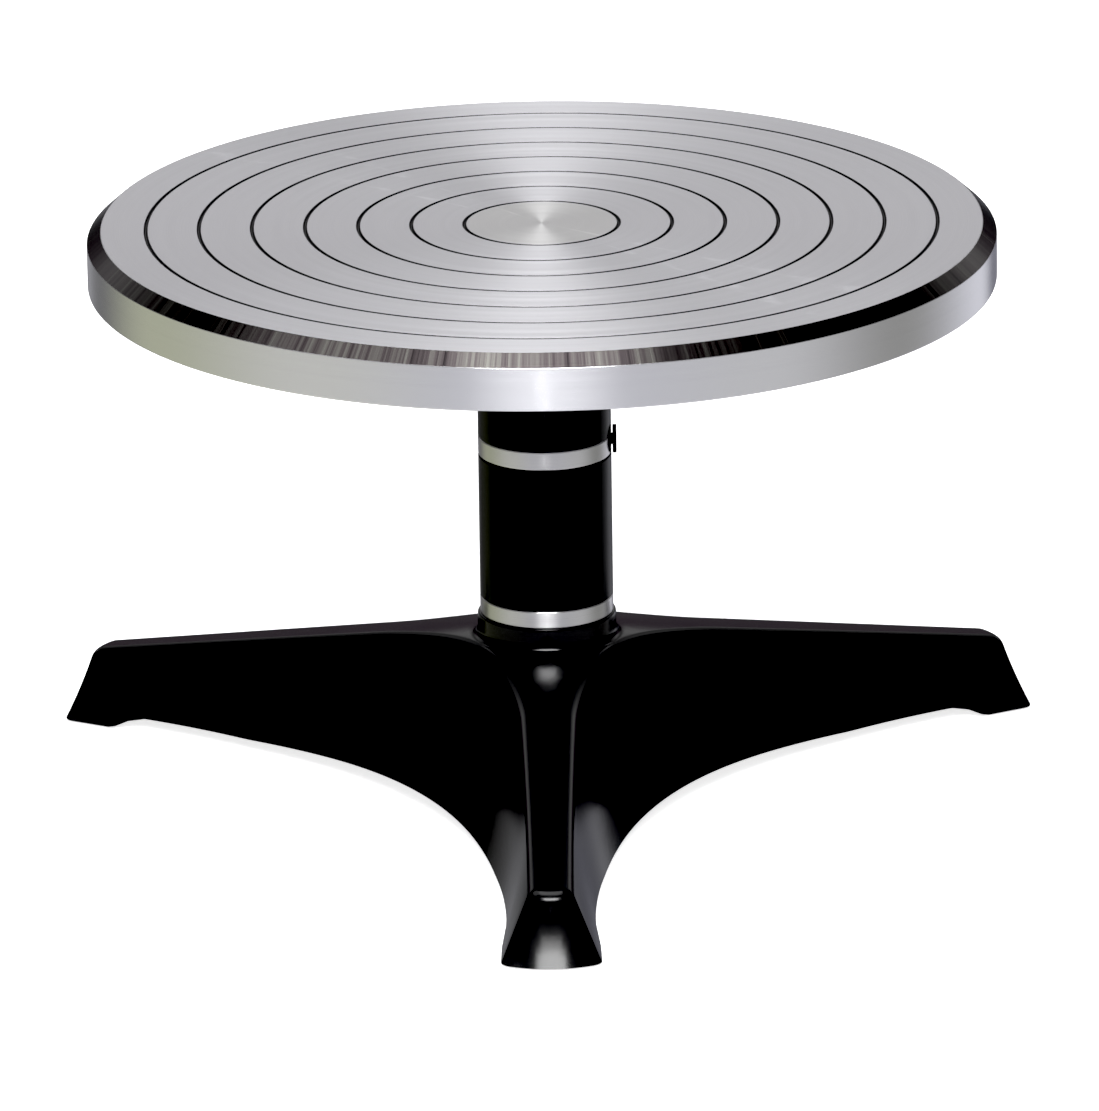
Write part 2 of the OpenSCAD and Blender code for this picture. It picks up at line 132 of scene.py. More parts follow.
# Screws
SCREW_COUNT = 4
SCREW_PLACE_R = 31.0
SCREW_R = 3.0
SCREW_PITCH = 1.0
SCREW_HEAD_R = 5.0
SOCKET_R = 2.9
SOCKET_H = 3.0
CLEARANCE_HOLE = 0.3
LOCK_R = 1.95
LOCK_PITCH = 0.7
LOCK_BORE_R = 0.85
LOCK_BORE_H = 1.6
LOCK_HEAD_R = 4.75
LOCK_HEAD_T = 1.3
LOCK_SLOT_W = 1.0
LOCK_SLOT_DEPTH = 0.5
SLOT_TOOL_R = 3
PAD_TIP_T = 1.25
PAD_STUB_R = LOCK_BORE_R - FIT_GAP
LOCK_KNURLS = 40
SCREW_KNURLS = 30
KNURL_DEPTH = 0.22
THREAD_DEPTH_SHARE = 0.54
THREAD_STEPS = 8

# Tripod base
ARM_ANGLES = (270, 30, 150)
SOLE_Z = 0.8
APEX_Z = 59.9
SLOPE = 0.206
LOWER_EDGE = ((47.4, 8.4), (108.0, 5.5), (153.0, 5.2), (162.0, SOLE_Z))
FOOT_WAIST = 55.4
FOOT_HALF = 15.8
FOOT_TIP_HALF = 16.4
FOOT_END = 184.0
CREST_WAIST = 26.5
CREST_HALF = 8.6
CREST_TIP_HALF = 6.4
CREST_END = 175.0
INNER_FOOT_END = 151.0
INNER_CREST_WALL = 4.0
INNER_CREST_END = 146.0
INNER_LOW_Z = -1.0
OUTER_CIRCLE = 25.0
OUTER_SPINE_END = 166.0
INNER_CIRCLE = 20.4
INNER_SPINE_END = 142.0
FOOT_FLARE = 1.1
BOSS_R = 23.0
BOSS_EDGE = 0.8
BOSS_EDGE_STEP = 0.25
CAST_WALL = 5.0
HUB_TUBE_R = 19.0
HUB_TUBE_Z = 36.0
HUB_TUBE_CHAMFER = 1.2
PAD_PLACE_R = 171.0
PAD_R = 7.5
PAD_H = 2.8
PAD_STEM_R = 3.0
PAD_STEM_TOP = 9.0
PAD_TREAD = (2.0, 3.9, 5.8)
TREAD_W = 0.5
TREAD_DEPTH = 0.4
ARM_STEPS = 40
TIP_STEPS = 6
CORNER_STEPS = 4
SHOULDER_STEPS = 7
WALL_STEPS = 6
TOP_STEPS = 4
SOLE_STEPS = 12
EDGE_ROUNDS = 12
EASE_STEPS = 3
SHARP_DEG = 38
FLOOR_R = 14000


# ---- Mesh helpers ----


def finish_mesh(name, bm, sharp_deg=SHARP_DEG):
    """Turns a bmesh in millimetres into a smooth-shaded object in metres."""
    bmesh.ops.remove_doubles(bm, verts=bm.verts, dist=0.002)
    bmesh.ops.recalc_face_normals(bm, faces=bm.faces)
    bmesh.ops.scale(bm, vec=(MM,) * 3, verts=bm.verts)
    mesh = bpy.data.meshes.new(name)
    bm.to_mesh(mesh)
    bm.free()
    mesh.shade_smooth()
    mesh.set_sharp_from_angle(angle=math.radians(sharp_deg))
    made = bpy.data.objects.new(name, mesh)
    bpy.context.scene.collection.objects.link(made)
    return made


def curve_corner(before, corner, after, steps):
    """Points of a smooth corner from before to after, both ends included."""
    points = []
    for i in range(steps + 1):
        t = i / steps
        points.append((1 - t) ** 2 * before + 2 * t * (1 - t) * corner + t * t * after)
    return points


def eased(profile):
    """A profile of (radius, height, corner size) points with each corner rounded by its size."""
    count = len(profile)
    points = []
    for i, (radius, height, size) in enumerate(profile):
        here = Vector((radius, height))
        if not size:
            points.append(here)
            continue
        back = Vector(profile[i - 1][:2]) - here
        ahead = Vector(profile[(i + 1) % count][:2]) - here
        start = here + back.normalized() * size
        end = here + ahead.normalized() * size
        points += curve_corner(start, here, end, EASE_STEPS)
    return points


def lathe_into(bm, points, segments, closed, shape=None):
    """Turns a profile about Z. shape(radius, height, angle) may move a point's radius."""
    rings = []
    for radius, height in points:
        if radius < 1e-6:
            rings.append([bm.verts.new((0, 0, height))])
            continue
        ring = []
        for s in range(segments):
            angle = 2 * math.pi * s / segments
            r = shape(radius, height, angle) if shape else radius
            ring.append(bm.verts.new((r * math.cos(angle), r * math.sin(angle), height)))
        rings.append(ring)
    pairs = list(zip(rings, rings[1:]))
    if closed:
        pairs.append((rings[-1], rings[0]))
    for first, second in pairs:
        for s in range(segments):
            t = (s + 1) % segments
            corners = [first[s % len(first)], first[t % len(first)]]
            corners += [second[t % len(second)], second[s % len(second)]]
            unique = list(dict.fromkeys(corners))
            if len(unique) > 2:
                bm.faces.new(unique)


def lathe(name, profile, segments=COLUMN_SEGMENTS, shape=None, sharp_deg=SHARP_DEG, places=(Matrix(),)):
    """A turned piece at each place.

    A profile that starts and ends on the axis makes a solid, and any other makes a ring.
    """
    points = eased(profile)
    solid = points[0].x < 1e-6 and points[-1].x < 1e-6
    bm = bmesh.new()
    for place in places:
        old = set(bm.verts)
        lathe_into(bm, points, segments, not solid, shape)
        bmesh.ops.transform(bm, matrix=place, verts=[v for v in bm.verts if v not in old])
    return finish_mesh(name, bm, sharp_deg)


def tube(name, low_z, high_z, outer, inner, edge, segments=COLUMN_SEGMENTS):
    """A straight tube with all four edges eased."""
    return lathe(name, [
        (inner, low_z, edge), (outer, low_z, edge), (outer, high_z, edge), (inner, high_z, edge),
    ], segments)


def thread(radius, low, high, pitch):
    """Profile points along a screw thread, and the shape that cuts the thread's groove into them."""
    count = int((high - low) / pitch * THREAD_STEPS)
    rows = [(radius, low + pitch * k / THREAD_STEPS, 0) for k in range(1, count)]

    def shape(r, z, angle):
        if abs(r - radius) > 1e-6 or not low < z < high:
            return r
        turned = (z / pitch - angle / (2 * math.pi)) % 1
        fade = min(1, (z - low) / pitch, (high - z) / pitch)
        return r - THREAD_DEPTH_SHARE * pitch * fade * (1 - abs(2 * turned - 1))

    return rows, shape


def hexagon(corner_r, high=math.inf, largest=math.inf):
    """A shape that holds points inside a hexagon with a corner on +X.

    It leaves points above high, and points farther out than largest, as they are.
    """

    def shape(r, z, angle):
        if z > high or r > largest:
            return r
        flat = corner_r * math.cos(math.pi / 6) / math.cos(angle % (math.pi / 3) - math.pi / 6)
        return min(r, flat)

    return shape


def knurl(smallest, count, depth):
    """A shape that cuts straight ridges into a head, wherever the radius is at least smallest."""
    return lambda r, z, angle: r - depth * (0.5 - 0.5 * math.cos(count * angle)) * (r >= smallest)


def together(*shapes):
    """One shape that applies several in turn."""

    def shape(r, z, angle):
        for each in shapes:
            r = each(r, z, angle)
        return r

    return shape


def round_places(count, radius):
    """Places at equal angles round the axis, the first of them half a step from +X."""
    turns = [Matrix.Rotation(2 * math.pi * (i + 0.5) / count, 4, "Z") for i in range(count)]
    return [turn_by @ Matrix.Translation((radius, 0, 0)) for turn_by in turns]


def cut(target, tool, operation):
    """Adds the tool to the target or takes it away, and leaves one clean mesh."""
    boolean = target.modifiers.new("cut", "BOOLEAN")
    boolean.operation = operation
    boolean.solver = "EXACT"
    boolean.object = tool
    graph = bpy.context.evaluated_depsgraph_get()
    made = bpy.data.meshes.new_from_object(target.evaluated_get(graph))
    target.modifiers.clear()
    target.data = made
    bpy.data.objects.remove(tool)
    made.shade_smooth()
    made.set_sharp_from_angle(angle=math.radians(SHARP_DEG))


# ---- Material helpers ----

GRAIN_DEPTH = 0.00002


def add(tree, kind, inputs=None, **settings):
    """A node with its settings, and its inputs linked to sockets or set to values."""
    node = tree.nodes.new(kind)
    for key, value in settings.items():
        setattr(node, key, value)
    for key, value in (inputs or {}).items():
        if isinstance(value, bpy.types.NodeSocket):
            tree.links.new(value, node.inputs[key])
        else:
            node.inputs[key].default_value = value
    return node


def math_node(tree, operation, *values):
    """The result of a maths node on sockets or numbers."""
    node = add(tree, "ShaderNodeMath", dict(enumerate(values)), operation=operation)
    return node.outputs[0]


def ramp(tree, factor, stops, interpolation="LINEAR"):
    """A colour ramp with (position, colour) stops; a number stands for a grey."""
    node = add(tree, "ShaderNodeValToRGB", {0: factor})
    node.color_ramp.interpolation = interpolation
    elements = node.color_ramp.elements
    while len(elements) < len(stops):
        elements.new(0.5)
    for element, (position, colour) in zip(elements, stops):
        element.position = position
        element.color = (*colour, 1) if isinstance(colour, tuple) else (colour, colour, colour, 1)
    return node.outputs[0]


def mix_colour(tree, factor, first, second, blend="MIX"):
    """Two colours mixed by a factor; each of the three may be a socket or a value."""
    node = tree.nodes.new("ShaderNodeMix")
    node.data_type = "RGBA"
    node.blend_type = blend
    for socket, value in ((node.inputs[0], factor), (node.inputs[6], first), (node.inputs[7], second)):
        if isinstance(value, bpy.types.NodeSocket):
            tree.links.new(value, socket)
        else:
            socket.default_value = (*value, 1) if isinstance(value, tuple) else value
    return node.outputs[2]


def start_material(name):
    """A new material, its tree, its shader, and the part's own coordinates."""
    material = bpy.data.materials.new(name)
    material.use_nodes = True
    tree = material.node_tree
    shader = tree.nodes["Principled BSDF"]
    place = add(tree, "ShaderNodeTexCoord").outputs["Object"]
    return material, tree, shader, place


def set_shader(tree, shader, **values):
    """Links or sets the shader's inputs, named with _ for a space."""
    for key, value in values.items():
        socket = shader.inputs[key.replace("_", " ")]
        if isinstance(value, bpy.types.NodeSocket):
            tree.links.new(value, socket)
        elif isinstance(value, tuple):
            socket.default_value = (*value, 1)
        else:
            socket.default_value = value


def noise(tree, place, scale, detail, roughness, **settings):
    """Noise over a place, or along one value if it is given as 1D."""
    inputs = {"Scale": scale, "Detail": detail, "Roughness": roughness}
    if settings.get("noise_dimensions") == "1D":
        inputs["W"] = place
    else:
        inputs["Vector"] = place
    return add(tree, "ShaderNodeTexNoise", inputs, **settings).outputs[0]


def from_axis(tree, place):
    """The way from the wheel's axis as a flat vector, and the height."""
    parts = add(tree, "ShaderNodeSeparateXYZ", {0: place}).outputs
    flat = add(tree, "ShaderNodeCombineXYZ", {0: parts[0], 1: parts[1]}).outputs[0]
    return flat, parts[2]


def bump(tree, height, strength, distance):
    """The normal of a surface raised by a height."""
    inputs = {"Height": height, "Strength": strength, "Distance": distance}
    return add(tree, "ShaderNodeBump", inputs).outputs[0]


def spread(tree, value, rough):
    """Roughness from the lower to the higher figure of rough as value goes from 0.3 to 0.7."""
    inputs = {"Value": value, "From Min": 0.3, "From Max": 0.7, "To Min": rough[0], "To Max": rough[1]}
    return add(tree, "ShaderNodeMapRange", inputs).outputs[0]


def worn(tree, place, tone, rubbed, amount):
    """A colour with its convex edges rubbed in patches."""
    edge = add(tree, "ShaderNodeNewGeometry").outputs["Pointiness"]
    edge = ramp(tree, edge, [(0.52, 0.0), (0.6, 1.0)])
    patches = ramp(tree, noise(tree, place, 110.0, 4.0, 0.6), [(0.42, 0.0), (0.66, amount)])
    return mix_colour(tree, math_node(tree, "MULTIPLY", edge, patches), tone, rubbed)


def turned_metal(name, colour, shade, rough, anisotropy, centre_shade=None):
    """Metal from a lathe: fine rings about Z in its height, its gloss and its colour."""
    material, tree, shader, place = start_material(name)
    flat, height = from_axis(tree, place)
    radius = add(tree, "ShaderNodeVectorMath", {0: flat}, operation="LENGTH").outputs["Value"]
    along = math_node(tree, "ADD", radius, math_node(tree, "MULTIPLY", height, 1.13))
    fine = noise(tree, along, 5200.0, 3.0, 0.6, noise_dimensions="1D")
    broad = noise(tree, along, 260.0, 2.0, 0.5, noise_dimensions="1D")
    cloud = noise(tree, place, 22.0, 3.0, 0.55)
    fine_part = math_node(tree, "MULTIPLY", fine, 0.65)
    grain = math_node(tree, "ADD", fine_part, math_node(tree, "MULTIPLY", broad, 0.35))
    tone = ramp(tree, grain, [(0.28, shade), (0.72, colour)])
    tone = mix_colour(tree, math_node(tree, "MULTIPLY", cloud, 0.22), tone, shade)
    tone = worn(tree, place, tone, tuple(min(1.0, c * 1.2) for c in colour), 0.5)
    if centre_shade:
        centre = ramp(tree, math_node(tree, "MULTIPLY", radius, 10.0), [(0.235, 1.0), (0.262, 0.0)])
        tone = mix_colour(tree, centre, tone, centre_shade, "MULTIPLY")
    set_shader(
        tree, shader, Base_Color=tone, Metallic=1.0, Roughness=spread(tree, grain, rough),
        Anisotropic=anisotropy, Anisotropic_Rotation=0.25,
        Tangent=add(tree, "ShaderNodeTangent", direction_type="RADIAL", axis="Z").outputs[0],
        Normal=bump(tree, grain, 0.35, GRAIN_DEPTH),
    )
    return material


def streaked_bevel(name):
    """Dark burnished metal with streaks that run across the edge."""
    material, tree, shader, place = start_material(name)
    flat, height = from_axis(tree, place)
    round_way = add(tree, "ShaderNodeVectorMath", {0: flat}, operation="NORMALIZE").outputs[0]
    streak = noise(tree, round_way, 52.0, 7.0, 0.76)
    patch = noise(tree, round_way, 6.0, 2.0, 0.5)
    mask = math_node(tree, "MULTIPLY", streak, math_node(tree, "MULTIPLY_ADD", patch, 0.4, 0.75))
    tone = ramp(tree, mask, [(0.32, (0.008, 0.007, 0.008)), (0.45, (0.05, 0.043, 0.045)),
                             (0.62, (0.118, 0.116, 0.108))])
    tone = worn(tree, place, tone, (0.3, 0.3, 0.31), 0.5)
    lines = noise(tree, height, 4200.0, 2.0, 0.5, noise_dimensions="1D")
    set_shader(tree, shader, Base_Color=tone, Metallic=1.0, Roughness=spread(tree, streak, (0.16, 0.3)),
               Normal=bump(tree, lines, 0.2, 0.00001))
    return material


def enamel(name, colour, rough, index, peel, peel_scale=420.0):
    """Gloss enamel: deep colour, a faint orange peel, dust and rubbed places."""
    material, tree, shader, place = start_material(name)
    soft = noise(tree, place, 30.0, 3.0, 0.5)
    peel_height = noise(tree, place, peel_scale, 2.0, 0.45)
    dust = noise(tree, place, 2600.0, 1.0, 0.5)
    lighter = tuple(c * 2.2 for c in colour)
    tone = mix_colour(tree, ramp(tree, soft, [(0.35, 0.0), (0.75, 0.7)]), colour, lighter)
    tone = mix_colour(tree, ramp(tree, dust, [(0.74, 0.0), (0.82, 0.5)]), tone, (0.05, 0.05, 0.05))
    tone = worn(tree, place, tone, (0.016, 0.016, 0.017), 0.6)
    set_shader(tree, shader, Base_Color=tone, Roughness=spread(tree, soft, rough), IOR=index,
               Normal=bump(tree, peel_height, 0.25, peel))
    return material


def plain_metal(name, colour, shade, rough):
    """Ground, plated or pressed metal with a fine even grain."""
    material, tree, shader, place = start_material(name)
    grain = noise(tree, place, 300.0, 4.0, 0.6)
    cloud = noise(tree, place, 60.0, 2.0, 0.5)
    tone = mix_colour(tree, ramp(tree, cloud, [(0.3, 0.0), (0.7, 1.0)]), colour, shade)
    tone = worn(tree, place, tone, tuple(min(1.0, c * 1.25 + 0.05) for c in colour), 0.6)
    set_shader(tree, shader, Base_Color=tone, Metallic=1.0, Roughness=spread(tree, grain, rough),
               Normal=bump(tree, grain, 0.3, GRAIN_DEPTH))
    return material


def soft_material(name, colour, shade, rough, scale, depth):
    """Rubber or felt: matt, grained, and a little uneven in colour."""
    material, tree, shader, place = start_material(name)
    grain = noise(tree, place, scale, 5.0, 0.65)
    cloud = noise(tree, place, scale / 9, 2.0, 0.5)
    tone = mix_colour(tree, ramp(tree, cloud, [(0.3, 0.0), (0.7, 1.0)]), colour, shade)
    tone = worn(tree, place, tone, tuple(min(1.0, c * 1.5 + 0.02) for c in colour), 0.5)
    set_shader(tree, shader, Base_Color=tone, Roughness=rough, Normal=bump(tree, grain, 0.6, depth))
    return material


ALUMINIUM = (0.74, 0.738, 0.768)
face_metal = turned_metal("turned_face_aluminium", ALUMINIUM, (0.62, 0.618, 0.645), (0.34, 0.42), 0.75,
                          centre_shade=(1.0, 1.0, 0.96))
rim_metal = turned_metal("turned_rim_aluminium", (0.8, 0.8, 0.83), (0.7, 0.7, 0.73), (0.17, 0.21), 1.0)
ring_metal = turned_metal("turned_ring_aluminium", (0.78, 0.78, 0.79), (0.66, 0.66, 0.67), (0.27, 0.33),
                          0.93)
bevel_metal = streaked_bevel("burnished_bevel")
# Near-black metal on the grooves' faces: painted shade that keeps the grooves dark from every side
groove_painted_shade = turned_metal("painted_groove_shade", (0.05, 0.05, 0.052), (0.02, 0.02, 0.022), (0.4, 0.5), 0.4)
base_enamel = enamel("gloss_black_enamel", (0.001, 0.001, 0.0013), (0.15, 0.19), 1.3, 0.00006)
sleeve_black = enamel("black_sleeve_finish", (0.001, 0.001, 0.0012), (0.2, 0.26), 1.18, 0.00001, 1500.0)
rubber = soft_material("foot_rubber_black", (0.02, 0.02, 0.02), (0.03, 0.03, 0.03), 0.82, 1800.0, 0.00008)
felt = soft_material("grey_felt", (0.28, 0.26, 0.22), (0.2, 0.19, 0.16), 0.95, 2400.0, 0.0003)
ground_steel = turned_metal("ground_steel_shaft", (0.6, 0.61, 0.63), (0.5, 0.51, 0.53), (0.18, 0.28), 0.3)
plated_steel = plain_metal("zinc_plated_steel", (0.66, 0.67, 0.7), (0.58, 0.59, 0.6), (0.26, 0.38))
bearing_steel = turned_metal("bearing_race_steel", (0.66, 0.67, 0.69), (0.58, 0.59, 0.61), (0.1, 0.18), 0.3)
ball_steel = plain_metal("bearing_ball_steel", (0.72, 0.73, 0.75), (0.66, 0.67, 0.69), (0.04, 0.08))
shield_steel = plain_metal("pressed_shield_steel", (0.64, 0.65, 0.66), (0.56, 0.57, 0.58), (0.2, 0.3))
cage_brass = plain_metal("pressed_cage_brass", (0.62, 0.44, 0.18), (0.5, 0.35, 0.14), (0.24, 0.36))
pad_brass = turned_metal("turned_pad_brass", (0.66, 0.48, 0.2), (0.55, 0.4, 0.16), (0.2, 0.3), 0.3)
black_oxide = plain_metal("black_oxide_steel", (0.03, 0.03, 0.033), (0.02, 0.02, 0.022), (0.32, 0.45))
spring_steel = plain_metal("phosphated_spring_steel", (0.11, 0.11, 0.12), (0.07, 0.07, 0.08), (0.35, 0.5))


def settle(piece, body, slot, *materials, nodes=()):
    """Gives a piece its materials and body, and hides the CAD nodes that it stands for. slot is not used."""
    piece.data.materials.clear()
    for material in materials:
        piece.data.materials.append(material)
    weighted = piece.modifiers.new("flat_faces_stay_flat", "WEIGHTED_NORMAL")
    weighted.keep_sharp = True
    weighted.weight = 50
    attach(piece, body)
    if nodes:
        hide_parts(*nodes)
    return piece


# ---- Camera, at the photograph's viewing angle ----

PITCH = math.radians(17.862)
ROLL = math.radians(-0.784)
CAMERA_FROM_FACE = Vector((1.1, -4499.8, 1334.9))
LENS = 461.4

camera_data = bpy.data.cameras.new("camera")
camera_data.lens = LENS
camera_data.sensor_width = 36
camera_data.clip_start = 0.1
camera_data.clip_end = 60
camera = bpy.data.objects.new("camera", camera_data)
bpy.context.scene.collection.objects.link(camera)
level_right = Vector((1, 0, 0))
level_up = Vector((0, math.sin(PITCH), math.cos(PITCH)))
right = level_right * math.cos(ROLL) + level_up * math.sin(ROLL)
up = level_up * math.cos(ROLL) - level_right * math.sin(ROLL)
turn = Matrix((right, up, right.cross(up))).transposed().to_4x4()
camera.matrix_world = Matrix.Translation((Vector((0, 0, FACE_Z)) + CAMERA_FROM_FACE) * MM) @ turn
bpy.context.scene.camera = camera


# ---- Wheel head ----


def head_profile():
    """The head's section from the middle of the face, out over the rim and back underneath."""
    points = [(0.0, FACE_Z, 0)]
    for i in range(GROOVE_COUNT):
        middle = GROOVE_FIRST_R + i * GROOVE_PITCH
        for offset, depth, size in GROOVE_POINTS:
            points.append((middle + offset * GROOVE_W, FACE_Z - depth * GROOVE_DEPTH, size))
        flat_end = middle + GROOVE_PITCH / 2
        if flat_end < HEAD_R - BEVEL_W - 2:
            points.append((flat_end, FACE_Z, 0))
    rim_in = HEAD_R - RIM_WALL
    points += [
        (HEAD_R - BEVEL_W, FACE_Z, 0.3), (HEAD_R, FACE_Z - BEVEL_H, 0.12), (HEAD_R, RIM_Z, 0.6),
        (rim_in, RIM_Z, 0.5), (rim_in, PLATE_Z, 2.0),
        (HEAD_BOSS_R, PLATE_Z, 2.0), (HEAD_BOSS_R, BOSS_Z, 0.6),
        (NUT_RECESS_R, BOSS_Z, 0.4), (NUT_RECESS_R, NUT_RECESS_Z, 0.5), (0.0, NUT_RECESS_Z, 0),
    ]
    return points


def rib_solid():
    """All the ribs under the plate, as rounded bars that reach into the boss and the rim."""
    bm = bmesh.new()
    inner, outer = HEAD_BOSS_R - 2, HEAD_R - RIM_WALL + 1
    section = [
        (inner, PLATE_Z + 1), (outer, PLATE_Z + 1),
        (outer, PLATE_Z - RIB_H_AT_RIM), (inner, PLATE_Z - RIB_H_AT_BOSS),
    ]
    for i in range(RIB_COUNT):
        turn_by = Matrix.Rotation(math.radians((i + 0.5) * 360 / RIB_COUNT), 3, "Z")
        sides = []
        for across in (-RIB_T / 2, RIB_T / 2):
            sides.append([bm.verts.new(turn_by @ Vector((x, across, z))) for x, z in section])
        bm.faces.new(sides[0])
        bm.faces.new(sides[1][::-1])
        for k in range(len(section)):
            m = (k + 1) % len(section)
            bm.faces.new((sides[0][m], sides[0][k], sides[1][k], sides[1][m]))
    lower = []
    for edge in bm.edges:
        if all(v.co.z < PLATE_Z - RIB_H_AT_RIM + 1 for v in edge.verts) and edge.calc_length() > RIB_T + 1:
            lower.append(edge)
    bmesh.ops.bevel(bm, geom=lower, offset=RIB_ROUND, segments=3, affect="EDGES")
    return finish_mesh("ribs", bm)


def screw_shanks(radius, low_z, high_z):
    """Cylinders at the flange screws' places, to cut their holes."""
    return lathe("screw_places", [
        (0, low_z, 0), (radius, low_z, 0), (radius, high_z, 0), (0, high_z, 0),
    ], 48, places=round_places(SCREW_COUNT, SCREW_PLACE_R))


def head_finish(middle):
    """Which of HEAD_FINISHES the face of the head with this middle has."""
    across = math.hypot(middle.x, middle.y)
    if middle.z > FACE_Z - BEVEL_H + FACE_EPS and across > HEAD_R - BEVEL_W + 0.12:
        return 1
    # Groove faces take the near-black groove metal, painted shade inside the grooves
    if FACE_Z - GROOVE_DEPTH - FACE_EPS < middle.z < FACE_Z - 0.06 and across < HEAD_R - BEVEL_W - 1:
        return 2
    if across > HEAD_R - 0.5 and middle.z < FACE_Z - BEVEL_H:
        return 3
    return 0


HEAD_FINISHES = (face_metal, bevel_metal, groove_painted_shade, rim_metal)
head = lathe("wheel_head_turned", head_profile(), HEAD_SEGMENTS, sharp_deg=30)
for face in head.data.polygons:
    face.material_index = head_finish(face.center / MM)
for finish in HEAD_FINISHES:
    head.data.materials.append(finish)
cut(head, rib_solid(), "UNION")
cut(head, screw_shanks(SCREW_R + FIT_GAP, BOSS_Z - 2, BOSS_Z + SCREW_HOLE_DEPTH), "DIFFERENCE")
kept_index = [face.material_index for face in head.data.polygons]
settle(head, "wheel", "turned_aluminium", *HEAD_FINISHES, nodes=["wheel_head"])
kept_index = [k if k < len(HEAD_FINISHES) else 0 for k in kept_index]
head.data.polygons.foreach_set("material_index", kept_index)

# ---- Column ----

housing = lathe("bearing_housing_turned", [
    (HOUSING_BORE_R, UPPER_RING_Z, 0.3), (COLUMN_R, UPPER_RING_Z, 0.5), (COLUMN_R, UPPER_RING_TOP, 0.45),
    (CORE_R, UPPER_RING_TOP, 0), (CORE_R, FLANGE_Z, 0.8), (FLANGE_R, FLANGE_Z, 0.8), (FLANGE_R, BOSS_Z, 0.4),
    (RACE_R, BOSS_Z, 0.4), (RACE_R, BEARING_Z, 0.3), (HOUSING_BORE_R, BEARING_Z, 0.3),
])
cut(housing, screw_shanks(SCREW_R + CLEARANCE_HOLE, FLANGE_Z - 2, BOSS_Z + 2), "DIFFERENCE")
settle(housing, "wheel", "ring_aluminium", ring_metal, nodes=["bearing_housing"])

core = lathe("column_core_turned", [
    (SHANK_BORE_R, HUB_Z, 0.2), (COLUMN_R, HUB_Z, 0.45), (COLUMN_R, LOWER_RING_TOP, 0.45),
    (CORE_R, LOWER_RING_TOP, 0), (CORE_R, COLLAR_Z, 0.4), (SHANK_BORE_R, COLLAR_Z, 0.4),
])
settle(core, "base", "ring_aluminium", ring_metal, nodes=["column_core"])

upper_sleeve = tube("hub_sleeve_black", UPPER_RING_TOP, FLANGE_Z, COLUMN_R, CORE_R + FIT_GAP, 0.4)
settle(upper_sleeve, "wheel", "black_sleeve", sleeve_black, nodes=["hub_sleeve"])
lower_sleeve = tube("column_sleeve_black", LOWER_RING_TOP, SLEEVE_TOP, COLUMN_R, CORE_R + FIT_GAP, 0.4)
settle(lower_sleeve, "base", "black_sleeve", sleeve_black, nodes=["column_sleeve"])


# ---- Tripod base ----


def side_half(a, waist, half, end_half, end_a):
    """Half an arm's width at distance a: an arc from the gap between arms, then a straight taper."""
    sin_60 = math.sin(math.radians(60))
    reach = (waist - half) / (1 - sin_60)
    join = reach / 2
    if a < join:
        return reach * sin_60 - math.sqrt((reach - waist) ** 2 - (join - a) ** 2)
    return half + (end_half - half) * (a - join) / (end_a - join)


def half_outline(waist, half, end_half, end_a, bow, corner):
    """One side of an arm as (along, across) points, from the gap between arms to the tip's middle."""
    start, end = waist / 2, end_a - bow
    points = []
    for i in range(ARM_STEPS + 1):
        a = start + (end - corner - start) * (i / ARM_STEPS) ** 1.25
        points.append(Vector((a, side_half(a, waist, half, end_half, end))))
    u = 1 - corner / end_half
    after = Vector((end_a - bow * u * u, end_half * u))
    points += curve_corner(points[-1], Vector((end, end_half)), after, CORNER_STEPS)[1:]
    for i in range(1, TIP_STEPS + 1):
        w = u * (1 - i / TIP_STEPS)
        points.append(Vector((end_a - bow * w * w, end_half * w)))
    return points


def roof(point, drop):
    """Height of the arms' sloping top over a point, lowered by drop."""
    return APEX_Z - drop - SLOPE * point.length


def under(rho):
    """Height of the base's lower edge at a distance from the axis."""
    if rho <= LOWER_EDGE[0][0]:
        return LOWER_EDGE[0][1]
    for (r0, z0), (r1, z1) in zip(LOWER_EDGE, LOWER_EDGE[1:]):
        if rho < r1:
            return z0 + (z1 - z0) * (rho - r0) / (r1 - r0)
    return SOLE_Z


def spine_point(gone, circle):
    """A point on the arc round the hub and then along the middle of the arm, after a length gone."""
    arc = circle * math.pi / 3
    if gone < arc:
        angle = math.pi / 3 * (1 - gone / arc)
        return Vector((circle * math.cos(angle), circle * math.sin(angle)))
    return Vector((circle + gone - arc, 0.0))


def spine_lengths(steps, circle, end):
    """Length gone along the spine at each station. One station falls just where the arc ends."""
    arc = circle * math.pi / 3
    line = end - circle
    turn_at = next(step for step in steps if step >= steps[ARM_STEPS] * arc / (arc + line))
    lengths = []
    for step in steps:
        if step <= turn_at:
            lengths.append(arc * step / turn_at)
        else:
            lengths.append(arc + line * min(1.0, (step - turn_at) / (steps[ARM_STEPS] - turn_at)))
    return lengths


def level(point, z):
    """A flat point or a point in space, moved to a height."""
    return Vector((point.x, point.y, z))


